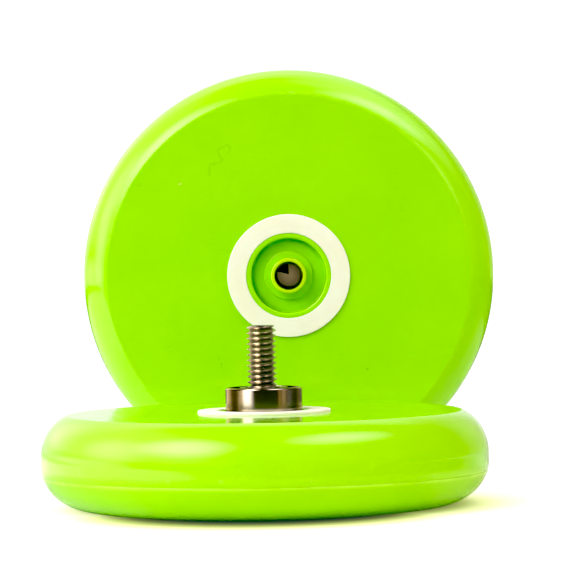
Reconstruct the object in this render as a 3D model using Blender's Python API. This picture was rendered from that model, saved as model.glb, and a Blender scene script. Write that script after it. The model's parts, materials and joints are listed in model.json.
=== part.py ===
"""Ball-bearing yo-yo, taken apart: the front half lies on its outer side with the bearing on its
post and the threaded axle standing up through it, and the rear half stands on its rim behind it.

Frame: +Z up, origin at the middle of the front half's outer face, on the axle's axis. The rear
half is on the +Y side with its inner face towards -Y. Lengths are in millimetres and become
metres through MM. Each half is modelled with its outer face at z = 0 and its inner face at HALF_H.
Profiles are lists of (radius, height) points.
"""

import math

import bmesh
import bpy
from mathutils import Matrix, Vector

MM = 0.001

# ---- rim and walls of a half ----
R_MAX = 29.0            # largest radius
HALF_H = 12.2           # outer face to inner face
R_FACE = 25.5           # edge of the flat inner face
R_BASE = 22.4           # edge of the flat outer face
Z_BAND_TOP = 6.6        # straight band of the rim
Z_BAND_LOW = 5.6
RIM_CENTRE_R = 24.0     # centre of the upper rim curve
Z_SEAM = 4.40           # joint between moulded body and side cap
SEAM_GAP = 0.10
WALL = 1.8
INNER_R = R_MAX - WALL - 0.1        # inside of the body's rim wall
FACE_UNDER_Z = HALF_H - WALL        # underside of the inner face
LOW_CURVE_R = R_MAX - R_BASE        # half axis of the lower rim curve; the other is Z_BAND_LOW

# ---- post, bearing seat and pad groove; depths are below the inner face ----
POST_R = 2.47           # post that carries the bearing
POST_BORE_R = 2.04
POST_UP = 0.95          # post top above the inner face
POST_BORE_CHAMFER = 0.1
POST_CHAMFER_W = 0.18
POST_CHAMFER_H = 0.2
SHOULDER_R = 3.4        # raised seat for the bearing's inner ring
SEAT_DEPTH = 0.80
RECESS_R = 5.2
RECESS_DEPTH = 1.15
RECESS_CHAMFER = 0.15
COLLAR_R = 5.95         # inner edge of the pad groove
PAD_GROOVE_R = 8.70
PAD_GROOVE_DEPTH = 0.55
PAD_SIDE_GAP = 0.08
PAD_UNDER_GAP = 0.05
PAD_T = 0.82
PAD_CHAMFER = 0.08

# ---- ribs and nut boss under the inner face ----
BOSS_R = 6.2
RIBS = 6
RIB_T = 1.2
RIB_INTO_BOSS = 1.0
RIB_INTO_FACE = 0.5
RIB_RIM_GAP = 1.2
RIB_ABOVE_BAND = 0.6
NUT_AF = 7.0            # hexagon across flats
NUT_FIT = 0.05
NUT_TOP_Z = HALF_H - 3.0
NUT_END_Z = HALF_H - 10.6
BOSS_END_Z = NUT_END_Z + 0.3
NUT_BORE_R = 2.08
NUT_BORE_END_Z = HALF_H - 9.15
DRILL_TIP = 1.0

# ---- side cap ----
CAP_WALL = 1.3
CAP_FLOOR_R = R_BASE - 1.2      # edge of the flat inside, and centre of the curve beyond it
CAP_CURVE_H = 3.2
LIP_OUT_R = INNER_R - 0.2
LIP_IN_R = INNER_R - 1.5
LIP_TOP_Z = Z_BAND_TOP - 0.3
LIP_CHAMFER = 0.3
# ring groove in the outer face: radius, height
CAP_GROOVE = [(17.7, 0), (17.5, 0.3), (17.1, 0.3), (16.9, 0)]

# ---- axle, M4 x 0.7 ----
AXLE_L = 20.0
AXLE_TOP = 23.2
THREAD_R = 1.96
THREAD_ROOT_R = 1.57
PITCH = 0.7
AXLE_CHAMFER = 0.45

# ---- 5 x 10 x 4 ball bearing, seated on the front half's shoulder; heights from its middle ----
BEARING_W = 4.0
BEARING_HALF_W = BEARING_W / 2
BEARING_R_OUT = 5.0
BEARING_R_IN = 2.5
BEARING_Z = HALF_H - SEAT_DEPTH + BEARING_HALF_W
OUTER_CHAMFER = 0.2
INNER_CHAMFER = 0.15
INNER_LAND_R = 3.15     # inner ring beside its ball groove
OUTER_LAND_R = 4.35     # outer ring beside its ball groove
OUTER_STEP_R = 4.63     # outer ring's wider mouth, which holds the shield and snap ring
OUTER_STEP_Z = 1.42
BALL_R = 0.75
BALL_PITCH_R = (BEARING_R_IN + BEARING_R_OUT) / 2
BALLS = 8
BALL_ANGLES = [2 * math.pi * (i + 0.5) / BALLS for i in range(BALLS)]
POCKET_R = BALL_R + 0.09
POCKET_L = 1.4
SNAP_GAP_DEG = 26
# radius, height above the bearing's middle
SHIELD_PROFILE = [(3.24, 1.47), (4.59, 1.47), (4.59, 1.60), (3.40, 1.60), (3.24, 1.56)]
SNAP_PROFILE = [(4.40, 1.64), (4.59, 1.64), (4.59, 1.80), (4.40, 1.80)]
CAGE_PROFILE = [(3.40, -1.2), (4.10, -1.2), (4.10, 0.32), (3.40, 0.32)]

# ---- rear half's place ----
REAR_X = 3.4
REAR_FACE_Y = 41.6
HOVER_FACE_Z = 31.0     # inner face's height once the rear half is over the axle

# ---- mesh fineness ----
SEG = 40                # sides of the large turned pieces
SEG_SMALL = 36
SEG_BORE = 24
SEG_THREAD = 14
SEG_POCKET = 14
SNAP_STEPS = 26
SHARP_ANGLE = math.radians(28)

for ob in list(bpy.data.objects):
    bpy.data.objects.remove(ob, do_unlink=True)


# ---- materials ----
def material(name, colour, roughness, metallic=1.0):
    mat = bpy.data.materials.new(name)
    mat.use_nodes = True
    shader = mat.node_tree.nodes["Principled BSDF"]
    shader.inputs["Base Color"].default_value = (*colour, 1.0)
    shader.inputs["Roughness"].default_value = roughness
    shader.inputs["Metallic"].default_value = metallic
    mat.diffuse_color = (*colour, 1.0)
    return mat


LIME = material("lime_plastic", colour=(0.29, 0.80, 0.0), roughness=0.18, metallic=0.0)
PAD = material("white_pad", colour=(0.86, 0.88, 0.74), roughness=0.75, metallic=0.0)
STEEL = material("bearing_steel", colour=(0.62, 0.56, 0.47), roughness=0.14)
AXLE_STEEL = material("axle_steel", colour=(0.55, 0.48, 0.38), roughness=0.24)
BALL_STEEL = material("ball_steel", colour=(0.78, 0.77, 0.74), roughness=0.08)
BRASS = material("nut_metal", colour=(0.42, 0.30, 0.16), roughness=0.35)
SHIELD = material("shield_steel", colour=(0.50, 0.48, 0.44), roughness=0.28)
CAGE = material("cage_steel", colour=(0.55, 0.50, 0.40), roughness=0.35)


# ---- mesh helpers ----
def shade(mesh):
    mesh.shade_smooth()
    mesh.set_sharp_from_angle(angle=SHARP_ANGLE)


def finish_mesh(build, name, mat, smooth=True):
    """Turn a bmesh into a clean mesh with outward normals."""
    bmesh.ops.remove_doubles(build, verts=build.verts, dist=1e-7)
    bmesh.ops.recalc_face_normals(build, faces=build.faces)
    mesh = bpy.data.meshes.new(name)
    build.to_mesh(mesh)
    build.free()
    mesh.materials.append(mat)
    if smooth:
        shade(mesh)
    return mesh


def draw_profile(build, profile, closed=True):
    """The vertices and edges of a profile, drawn in the XZ plane."""
    verts = [build.verts.new((radius * MM, 0.0, z * MM)) for radius, z in profile]
    edges = [build.edges.new(pair) for pair in zip(verts, verts[1:])]
    if closed:
        edges.append(build.edges.new((verts[-1], verts[0])))
    return verts, edges


def turned(name, profile, mat, segs=SEG, closed=True):
    """Spin a profile about Z. A profile that starts and ends on the axis isn't closed."""
    build = bmesh.new()
    verts, edges = draw_profile(build, profile, closed)
    bmesh.ops.spin(build, geom=verts + edges, cent=(0, 0, 0), axis=(0, 0, 1),
                   angle=2 * math.pi, steps=segs, use_merge=True)
    return finish_mesh(build, name, mat)


def split_ring(name, profile, gap_deg, mat, steps):
    """Spin a closed profile about Z, leaving a gap with a flat face at each end."""
    build = bmesh.new()
    verts, edges = draw_profile(build, profile)
    spun = bmesh.ops.spin(build, geom=verts + edges, cent=(0, 0, 0), axis=(0, 0, 1),
                          angle=math.radians(360 - gap_deg), steps=steps)
    last = [item for item in spun["geom_last"] if isinstance(item, bmesh.types.BMEdge)]
    bmesh.ops.holes_fill(build, edges=edges + last, sides=0)
    return finish_mesh(build, name, mat)


def arc(centre_r, centre_z, half_r, half_z, start, end, steps):
    """steps + 1 profile points on an ellipse with these half axes, angles in degrees."""
    points = []
    for i in range(steps + 1):
        angle = math.radians(start + (end - start) * i / steps)
        points.append((centre_r + half_r * math.cos(angle), centre_z + half_z * math.sin(angle)))
    return points


def hexagon(name, across_flats, z_low, z_high, mat):
    build = bmesh.new()
    radius = across_flats / 2 / math.cos(math.pi / 6) * MM
    bmesh.ops.create_cone(build, cap_ends=True, segments=6, radius1=radius, radius2=radius,
                          depth=(z_high - z_low) * MM,
                          matrix=Matrix.Translation((0, 0, (z_low + z_high) / 2 * MM)))
    return finish_mesh(build, name, mat, smooth=False)


def place(name, data, parent=None, location=(0, 0, 0), rotation=(0, 0, 0)):
    """Link an object at a location in millimetres."""
    placed = bpy.data.objects.new(name, data)
    placed.location = Vector(location) * MM
    placed.rotation_euler = rotation
    placed.parent = parent
    bpy.context.scene.collection.objects.link(placed)
    return placed


def empty(name, parent=None, location=(0, 0, 0), rotation=(0, 0, 0)):
    frame = place(name, None, parent, location, rotation)
    frame.empty_display_size = 0.005
    return frame


def booleaned(mesh, steps, name):
    """The mesh after EXACT booleans with each (operation, cutter mesh)."""
    work = place("work", mesh)
    tools = []
    for operation, cutter in steps:
        tool = place("tool", cutter)
        tool.hide_render = True
        modifier = work.modifiers.new(operation.lower(), "BOOLEAN")
        modifier.operation = operation
        modifier.solver = "EXACT"
        modifier.object = tool
        tools.append(tool)
    depsgraph = bpy.context.evaluated_depsgraph_get()
    result = bpy.data.meshes.new_from_object(work.evaluated_get(depsgraph))
    result.name = name
    for helper in [work] + tools:
        bpy.data.objects.remove(helper, do_unlink=True)
    shade(result)
    return result


# ---- pieces of a half ----
def make_ribs():
    """Radial walls from the boss towards the rim, reaching into the boss and the face."""
    x_in, x_out = BOSS_R - RIB_INTO_BOSS, INNER_R - RIB_RIM_GAP
    z_low, z_high = Z_BAND_TOP + RIB_ABOVE_BAND, FACE_UNDER_Z + RIB_INTO_FACE
    centre = Matrix.Translation(((x_in + x_out) / 2 * MM, 0, (z_low + z_high) / 2 * MM))
    size = Matrix.Diagonal(((x_out - x_in) * MM, RIB_T * MM, (z_high - z_low) * MM, 1))
    build = bmesh.new()
    for i in range(RIBS):
        turn = Matrix.Rotation(2 * math.pi * i / RIBS, 4, "Z")
        bmesh.ops.create_cube(build, size=1.0, matrix=turn @ centre @ size)
    return finish_mesh(build, "ribs", LIME, smooth=False)


def make_body():
    """Moulded body: inner face, rim, bearing seat, post and nut boss."""
    post_top = HALF_H + POST_UP
    seat_z = HALF_H - SEAT_DEPTH
    recess_z = HALF_H - RECESS_DEPTH
    groove_z = HALF_H - PAD_GROOVE_DEPTH
    # the upper rim curve is an ellipse that passes through the inner face's edge
    rim_half_r = R_MAX - RIM_CENTRE_R
    rim_rise = HALF_H - Z_BAND_TOP
    rim_half_z = rim_rise / math.sqrt(1 - ((R_FACE - RIM_CENTRE_R) / rim_half_r) ** 2)
    rim_start = math.degrees(math.asin(rim_rise / rim_half_z))
    body_low = Z_SEAM + SEAM_GAP / 2
    low_drop = (Z_BAND_LOW - body_low) / Z_BAND_LOW
    low_r = R_BASE + LOW_CURVE_R * math.sqrt(1 - low_drop ** 2)
    profile = [
        (POST_BORE_R, post_top - POST_BORE_CHAMFER),
        (POST_BORE_R + POST_BORE_CHAMFER, post_top),
        (POST_R - POST_CHAMFER_W, post_top),
        (POST_R, post_top - POST_CHAMFER_H),
        (POST_R, seat_z),
        (SHOULDER_R, seat_z),
        (SHOULDER_R, recess_z),
        (RECESS_R, recess_z),
        (RECESS_R, HALF_H - RECESS_CHAMFER),
        (RECESS_R + RECESS_CHAMFER, HALF_H),
        (COLLAR_R, HALF_H),
        (COLLAR_R, groove_z),
        (PAD_GROOVE_R, groove_z),
        (PAD_GROOVE_R, HALF_H),
        *arc(RIM_CENTRE_R, Z_BAND_TOP, rim_half_r, rim_half_z, rim_start, 0, steps=7),
        (R_MAX, Z_BAND_LOW),
        (low_r, body_low),
        (INNER_R, body_low),
        *arc(RIM_CENTRE_R, Z_BAND_TOP, INNER_R - RIM_CENTRE_R, FACE_UNDER_Z - Z_BAND_TOP,
             0, 90, steps=3),
        (BOSS_R, FACE_UNDER_Z),
        (BOSS_R, BOSS_END_Z),
        (POST_BORE_R, BOSS_END_Z),
    ]
    blank = turned("body_blank", profile, LIME)
    # the pocket is a little taller than the nut and opens through the boss's end
    pocket = hexagon("nut_pocket", NUT_AF + 2 * NUT_FIT, NUT_END_Z - 1.0, NUT_TOP_Z + 0.1, LIME)
    return booleaned(blank, [("UNION", make_ribs()), ("DIFFERENCE", pocket)], "body")


def make_cap():
    """Side cap: outer face and lower rim, with a lip inside the body's wall."""
    cap_top = Z_SEAM - SEAM_GAP / 2
    rim_start = math.degrees(math.asin((Z_BAND_LOW - cap_top) / Z_BAND_LOW))
    profile = [
        (0, CAP_WALL),
        (CAP_FLOOR_R, CAP_WALL),
        *arc(CAP_FLOOR_R, CAP_WALL + CAP_CURVE_H, LIP_IN_R - CAP_FLOOR_R, CAP_CURVE_H,
             -60, 0, steps=2),
        (LIP_IN_R, LIP_TOP_Z),
        (LIP_OUT_R - LIP_CHAMFER, LIP_TOP_Z),
        (LIP_OUT_R, LIP_TOP_Z - LIP_CHAMFER),
        (LIP_OUT_R, cap_top),
        *arc(R_BASE, Z_BAND_LOW, LOW_CURVE_R, Z_BAND_LOW, -rim_start, -90, steps=6),
        *CAP_GROOVE,
        (0, 0),
    ]
    return turned("cap", profile, LIME, closed=False)


def make_pad():
    """Friction pad, a flat ring in the inner face's groove."""
    r_in, r_out = COLLAR_R + PAD_SIDE_GAP, PAD_GROOVE_R - PAD_SIDE_GAP
    low = HALF_H - PAD_GROOVE_DEPTH + PAD_UNDER_GAP
    top = low + PAD_T
    profile = [(r_in, low), (r_out, low), (r_out, top - PAD_CHAMFER),
               (r_out - PAD_CHAMFER, top), (r_in, top)]
    return turned("pad", profile, PAD, SEG_SMALL)


def make_nut():
    """Hexagonal nut with a blind hole and a drill point at its end."""
    blank = hexagon("nut_blank", NUT_AF, NUT_END_Z, NUT_TOP_Z, BRASS)
    cutter_top = NUT_TOP_Z + 1
    profile = [(0, cutter_top), (NUT_BORE_R, cutter_top), (NUT_BORE_R, NUT_BORE_END_Z),
               (0, NUT_BORE_END_Z - DRILL_TIP)]
    bore = turned("nut_bore", profile, BRASS, SEG_BORE, closed=False)
    return booleaned(blank, [("DIFFERENCE", bore)], "nut")


# ---- threaded axle ----
def make_axle():
    """A stud whose skin is one helical strip, pulled in to a chamfered disc at each end."""
    low = AXLE_TOP - AXLE_L
    thread = [(0.0, THREAD_ROOT_R), (0.5, THREAD_R)]    # fraction of the pitch, radius
    per_turn = len(thread)
    rows = (math.ceil(AXLE_L / PITCH) + 2) * per_turn

    def point(side, row):
        fraction, radius = thread[row % per_turn]
        z = low - PITCH + PITCH * (row // per_turn + fraction + side / SEG_THREAD)
        z = min(max(z, low), AXLE_TOP)
        radius = min(radius, THREAD_R - AXLE_CHAMFER + min(z - low, AXLE_TOP - z))
        angle = 2 * math.pi * side / SEG_THREAD
        return (radius * math.cos(angle) * MM, radius * math.sin(angle) * MM, z * MM)

    build = bmesh.new()
    grid = [[build.verts.new(point(side, row)) for row in range(rows + 1)]
            for side in range(SEG_THREAD)]
    for side, column in enumerate(grid):
        # the last side joins the first one a full turn higher
        shift = per_turn if side == SEG_THREAD - 1 else 0
        beside = grid[(side + 1) % SEG_THREAD]
        for row in range(rows - shift):
            build.faces.new((column[row], beside[row + shift],
                             beside[row + shift + 1], column[row + 1]))
    # rows held at an end plane fall together there
    bmesh.ops.remove_doubles(build, verts=build.verts, dist=2e-6)
    for vert in [vert for vert in build.verts if not vert.link_faces]:
        build.verts.remove(vert)
    rim = [edge for edge in build.edges if len(edge.link_faces) == 1]
    bmesh.ops.holes_fill(build, edges=rim, sides=0)
    return finish_mesh(build, "axle", AXLE_STEEL)


# ---- bearing ----
def at_bearing(points):
    return [(radius, z + BEARING_Z) for radius, z in points]


def make_ring(name, groove_r, upper):
    """A bearing ring from its groove's deepest radius and its profile above the middle."""
    lower = [(radius, -z) for radius, z in reversed(upper)]
    return turned(name, at_bearing([(groove_r, 0.0)] + upper + lower), STEEL, SEG_SMALL)


def make_outer_ring():
    return make_ring("outer_ring", 4.53, [
        (OUTER_LAND_R, 0.52),
        (OUTER_LAND_R, OUTER_STEP_Z),
        (OUTER_STEP_R, OUTER_STEP_Z),
        (OUTER_STEP_R, BEARING_HALF_W),
        (BEARING_R_OUT - OUTER_CHAMFER, BEARING_HALF_W),
        (BEARING_R_OUT, BEARING_HALF_W - OUTER_CHAMFER),
    ])


def make_inner_ring():
    return make_ring("inner_ring", 2.96, [
        (INNER_LAND_R, 0.5),
        (INNER_LAND_R, BEARING_HALF_W),
        (BEARING_R_IN + INNER_CHAMFER, BEARING_HALF_W),
        (BEARING_R_IN, BEARING_HALF_W - INNER_CHAMFER),
    ])


def make_cage():
    """A ring with a round radial pocket for each ball."""
    blank = turned("cage_blank", at_bearing(CAGE_PROFILE), CAGE, SEG_SMALL)
    build = bmesh.new()
    for angle in BALL_ANGLES:
        matrix = (Matrix.Translation((0, 0, BEARING_Z * MM))
                  @ Matrix.Rotation(angle, 4, "Z")
                  @ Matrix.Translation((BALL_PITCH_R * MM, 0, 0))
                  @ Matrix.Rotation(math.pi / 2, 4, "Y"))
        bmesh.ops.create_cone(build, cap_ends=True, segments=SEG_POCKET, radius1=POCKET_R * MM,
                              radius2=POCKET_R * MM, depth=POCKET_L * MM, matrix=matrix)
    pockets = finish_mesh(build, "pockets", CAGE, smooth=False)
    return booleaned(blank, [("DIFFERENCE", pockets)], "cage")


def make_ball():
    build = bmesh.new()
    bmesh.ops.create_uvsphere(build, u_segments=10, v_segments=7, radius=BALL_R * MM)
    return finish_mesh(build, "ball", BALL_STEEL)


def place_bearing(parent):
    bearing = empty("bearing", parent)
    place("bearing_inner_ring", make_inner_ring(), bearing)

    outer = empty("bearing_outer", bearing)
    place("bearing_outer_ring", make_outer_ring(), outer)
    closures = {
        "shield": turned("shield", SHIELD_PROFILE, SHIELD, SEG_SMALL),
        "snap_ring": split_ring("snap_ring", SNAP_PROFILE, SNAP_GAP_DEG, AXLE_STEEL, SNAP_STEPS),
    }
    for name, mesh in closures.items():
        for end, tilt in (("top", 0), ("bottom", math.pi)):
            place(f"bearing_{name}_{end}", mesh, outer, (0, 0, BEARING_Z), (tilt, 0, 0))

    cage = empty("bearing_cage_frame", bearing)
    place("bearing_cage", make_cage(), cage)
    ball = make_ball()
    for i, angle in enumerate(BALL_ANGLES):
        x, y = BALL_PITCH_R * math.cos(angle), BALL_PITCH_R * math.sin(angle)
        place(f"bearing_ball_{i + 1}", ball, cage, (x, y, BEARING_Z))


# ---- assembly ----
def rear_frame():
    """The rear half's empty, under one that stands on the line it swings about.

    The swing that carries the rear half over the axle is one turn about a fixed line.
    """
    start = Vector((REAR_X, REAR_FACE_Y + HALF_H, R_MAX))
    goal = Vector((0, 0, HOVER_FACE_Z + HALF_H))
    shift = goal - start
    # this angle makes the line square to the shift
    half_phi = math.atan2(shift.x, -(shift.y + shift.z))
    axis = Vector((math.cos(half_phi), math.sin(half_phi), math.sin(half_phi))).normalized()
    half_turn = math.acos(math.cos(half_phi) * math.cos(math.pi / 4))
    # the point of the line nearest the start
    pivot = (start + goal) / 2 + axis.cross(shift) / (2 * math.tan(half_turn))
    swing = empty("rear_half_swing", location=pivot)
    return empty("rear_half", swing, start - pivot, (math.pi / 2, 0, 0))


half_meshes = {
    "body": make_body(),
    "side_cap": make_cap(),
    "response_pad": make_pad(),
    "axle_nut": make_nut(),
}
front = empty("front_half")
for side_name, frame in (("front", front), ("rear", rear_frame())):
    for piece, mesh in half_meshes.items():
        place(f"{side_name}_{piece}", mesh, frame)
place("axle", make_axle(), front)
place_bearing(front)
bpy.context.view_layer.update()
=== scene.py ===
# A ball-bearing yo-yo taken apart: the front half lies flat with its bearing and threaded axle,
# the rear half stands behind it. Each piece is built in its half's own frame (axis on Z, outer face
# at z 0, inner face at z DEPTH) and then placed. The camera looks along +Y, with +X to its right.
# Lengths are millimetres until MM makes them metres.

import json
import math
from functools import cached_property, reduce

import bmesh
import bpy
import numpy as np
from mathutils import Matrix, Vector

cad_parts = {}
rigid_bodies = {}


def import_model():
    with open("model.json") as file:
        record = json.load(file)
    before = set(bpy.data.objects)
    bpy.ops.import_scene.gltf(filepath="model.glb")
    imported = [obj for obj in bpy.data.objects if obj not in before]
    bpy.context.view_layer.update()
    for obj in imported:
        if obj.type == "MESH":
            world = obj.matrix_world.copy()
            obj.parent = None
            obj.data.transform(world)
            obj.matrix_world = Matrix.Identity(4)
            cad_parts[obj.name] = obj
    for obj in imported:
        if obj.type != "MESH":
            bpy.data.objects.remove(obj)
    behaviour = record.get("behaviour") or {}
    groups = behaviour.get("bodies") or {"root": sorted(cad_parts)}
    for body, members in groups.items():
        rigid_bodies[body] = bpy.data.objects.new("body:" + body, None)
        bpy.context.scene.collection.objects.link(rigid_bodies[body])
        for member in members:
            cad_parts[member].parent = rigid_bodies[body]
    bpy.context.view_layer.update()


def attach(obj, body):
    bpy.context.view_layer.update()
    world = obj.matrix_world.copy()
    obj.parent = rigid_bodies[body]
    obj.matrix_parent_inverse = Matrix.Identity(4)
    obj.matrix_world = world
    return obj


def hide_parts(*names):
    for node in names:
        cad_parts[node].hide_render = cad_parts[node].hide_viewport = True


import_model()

# ================================================================ sizes
MM = 0.001

# ---- half body ----
DEPTH = 12.2                            # outer face to inner face
RIM_R, FACE_R, BASE_R = 29.0, 25.5, 22.4
BAND_TOP_Z, BAND_LOW_Z = 6.6, 5.6       # the rim is at its widest between these
RIM_CENTRE_R = 24.0                     # centre of the ellipse that rounds the rim
SEAM_Z, WALL, CAP_WALL = 4.40, 1.8, 1.3
BODY_LOW_Z, CAP_TOP_Z = SEAM_Z + 0.02, SEAM_Z + 0.01
FACE_UNDER_Z = DEPTH - WALL
INNER_R = RIM_R - WALL - 0.1
RIM_HALF_W = RIM_R - RIM_CENTRE_R
RIM_HALF_H = (DEPTH - BAND_TOP_Z) / math.sqrt(1 - ((FACE_R - RIM_CENTRE_R) / RIM_HALF_W) ** 2)
POST_R, POST_BORE_R, POST_UP = 2.47, 1.99, 0.95
SHOULDER_R, SEAT_DEPTH = 3.4, 0.80
RECESS_R, RECESS_DEPTH = 5.2, 1.15
COLLAR_R, COLLAR_UP = 5.95, 0.24
BOSS_R, BOSS_LOW_Z = 6.2, DEPTH - 10.3
RIBS, RIB_T = 6, 1.2
LIP_OUT_R, LIP_IN_R, LIP_TOP_Z = INNER_R - 0.2, INNER_R - 1.5, BAND_TOP_Z - 0.3

# ---- friction pad and its groove ----
GROOVE_R, GROOVE_DEPTH = 8.63, 0.55
PAD_GAP, PAD_T = 0.01, 0.82
PAD_IN_R, PAD_OUT_R = COLLAR_R + PAD_GAP, GROOVE_R - PAD_GAP
PAD_LOW_Z = DEPTH - GROOVE_DEPTH + 0.05

# ---- nut and axle ----
NUT_FLATS = 7.0
NUT_TOP_Z, NUT_END_Z, NUT_BORE_END_Z = DEPTH - 3.0, DEPTH - 10.6, DEPTH - 9.15
TAP_R, TAP_ROOT_R = 2.06, 1.64          # thread cut into the nut
AXLE_TOP_Z, AXLE_LOW_Z = 23.4, 3.2
THREAD_R, THREAD_ROOT_R, PITCH = 1.96, 1.41, 0.7
LEAN, LEAN_FROM_Z = 0.0117, 1.6         # the axle leans to -X, by this slope from this height up

# ---- bearing ----
BRG_OUT_R, BRG_IN_R, BRG_HALF_W = 5.0, 2.5, 2.0
BRG_Z = DEPTH - SEAT_DEPTH + BRG_HALF_W
LAND_OUT_R, LAND_IN_R = 4.35, 3.15      # ring surfaces either side of the raceways
BALL_R, BALL_PITCH_R, BALLS = 0.75, (BRG_OUT_R + BRG_IN_R) / 2, 8
POCKET_R = BALL_R + 0.08
SNAP_SWEEP = 334                        # degrees; the rest is the ring's gap

# ---- placing of the halves ----
REAR_X, REAR_FACE_Y = 3.4, 41.6
FRONT = Matrix.Identity(4)
REAR = (Matrix.Translation(Vector((REAR_X, REAR_FACE_Y + DEPTH, RIM_R)) * MM)
        @ Matrix.Rotation(math.pi / 2, 4, "X"))


# ================================================================ profiles and meshes
def arc(centre_r, centre_z, half_w, half_h, start, end, steps):
    """steps + 1 points on an ellipse in the (radius, height) plane, angles in degrees."""
    angles = [math.radians(start + (end - start) * i / steps) for i in range(steps + 1)]
    return [(centre_r + half_w * math.cos(a), centre_z + half_h * math.sin(a)) for a in angles]


def fillet(before, corner, after, radius, steps):
    """The points that round one corner, or the corner itself where the run is all but straight."""
    to_before, to_after = before - corner, after - corner
    length_before, length_after = np.linalg.norm(to_before), np.linalg.norm(to_after)
    to_before, to_after = to_before / length_before, to_after / length_after
    half = math.acos(max(-1.0, min(1.0, float(to_before @ to_after)))) / 2
    if half > math.radians(88.5):
        return [tuple(corner)]
    reach = min(radius / math.tan(half), 0.46 * length_before, 0.46 * length_after)
    radius = reach * math.tan(half)
    middle = (to_before + to_after) / np.linalg.norm(to_before + to_after)
    centre = corner + middle * (radius / math.sin(half))
    start, end = corner + to_before * reach - centre, corner + to_after * reach - centre
    turn = math.atan2(start[0] * end[1] - start[1] * end[0], float(start @ end))
    points = []
    for i in range(steps + 1):
        cos, sin = math.cos(turn * i / steps), math.sin(turn * i / steps)
        points.append((centre[0] + cos * start[0] - sin * start[1],
                       centre[1] + sin * start[0] + cos * start[1]))
    return points


def rounded(corners, closed=True, steps=4):
    """Corners are (radius, height, fillet), the fillet being optional. Each flat run gets a
    holding point close to both of its ends, so that it shades flat right up to the fillet."""
    hold, long_run, short_run, short_share = 0.045, 0.5, 0.08, 0.12
    points = [np.array(corner[:2], float) for corner in corners]
    count, runs = len(points), []
    for i, point in enumerate(points):
        radius = corners[i][2] if len(corners[i]) > 2 else 0.0
        if not closed and i in (0, count - 1) or radius <= 0:
            runs.append([tuple(point)])
        else:
            runs.append(fillet(points[i - 1], point, points[(i + 1) % count], radius, steps))
    profile = []
    for i, run in enumerate(runs):
        profile += run
        if i == count - 1 and not closed:
            break
        start, end = np.array(run[-1]), np.array(runs[(i + 1) % count][0])
        length = np.linalg.norm(end - start)
        if length > long_run:
            profile += [tuple(start + (end - start) * hold / length),
                        tuple(end - (end - start) * hold / length)]
        elif length > short_run:
            profile += [tuple(start + (end - start) * short_share),
                        tuple(end - (end - start) * short_share)]
    return profile


def tidy(bm, name, sharp=40):
    """A mesh with doubles merged, normals outward, smooth but for edges over the sharp angle."""
    bmesh.ops.remove_doubles(bm, verts=bm.verts, dist=1e-7)
    bmesh.ops.recalc_face_normals(bm, faces=bm.faces)
    mesh = bpy.data.meshes.new(name)
    bm.to_mesh(mesh)
    bm.free()
    mesh.shade_smooth()
    mesh.set_sharp_from_angle(angle=math.radians(sharp))
    return mesh


def mesh_from(name, points, faces, sharp=40):
    """Points in mm become a mesh in metres."""
    bm = bmesh.new()
    verts = [bm.verts.new((x * MM, y * MM, z * MM)) for x, y, z in points]
    for face in faces:
        bm.faces.new([verts[i] for i in face])
    return tidy(bm, name, sharp)


def turned(name, profile, segs, closed=True, sharp=40, sweep=360.0):
    """A (radius, height) profile spun about Z. A sweep under 360 leaves a gap with capped ends."""
    full = sweep >= 360
    columns = segs if full else segs + 1
    count = len(profile)
    points = []
    for j in range(columns):
        angle = math.radians(sweep) * j / segs
        points += [(radius * math.cos(angle), radius * math.sin(angle), z)
                   for radius, z in profile]
    index = [range(j * count, (j + 1) * count) for j in range(columns)]
    on_axis = [radius < 1e-9 for radius, _ in profile]
    faces = []
    for j in range(segs):
        here, there = index[j], index[(j + 1) % columns]
        for i in range(count if closed else count - 1):
            k = (i + 1) % count
            if on_axis[i] and on_axis[k]:
                continue
            if on_axis[i]:
                faces.append((here[i], there[k], here[k]))
            elif on_axis[k]:
                faces.append((here[i], there[i], here[k]))
            else:
                faces.append((here[i], there[i], there[k], here[k]))
    if not full:
        faces += [tuple(index[0]), tuple(reversed(index[-1]))]
    return mesh_from(name, points, faces, sharp)


def cut(mesh, steps, name, sharp=40):
    """The mesh after EXACT booleans with each (operation, cutter mesh)."""
    work = bpy.data.objects.new("work", mesh)
    bpy.context.scene.collection.objects.link(work)
    tools = []
    for operation, cutter in steps:
        tool = bpy.data.objects.new("tool", cutter)
        bpy.context.scene.collection.objects.link(tool)
        boolean = work.modifiers.new(operation.lower(), "BOOLEAN")
        boolean.operation, boolean.solver, boolean.object = operation, "EXACT", tool
        tools.append(tool)
    depsgraph = bpy.context.evaluated_depsgraph_get()
    result = bpy.data.meshes.new_from_object(work.evaluated_get(depsgraph))
    result.name = name
    for ob in [work] + tools:
        bpy.data.objects.remove(ob, do_unlink=True)
    result.shade_smooth()
    result.set_sharp_from_angle(angle=math.radians(sharp))
    return result


def hexagon(name, across_flats, low, top):
    radius = across_flats / 2 / math.cos(math.pi / 6)
    angles = [math.pi / 3 * i for i in range(6)]
    ring = [(radius * math.cos(angle), radius * math.sin(angle)) for angle in angles]
    points = [(x, y, z) for z in (low, top) for x, y in ring]
    faces = [tuple(range(5, -1, -1)), tuple(range(6, 12))]
    faces += [(i, (i + 1) % 6, 6 + (i + 1) % 6, 6 + i) for i in range(6)]
    return mesh_from(name, points, faces, sharp=20)


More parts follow.
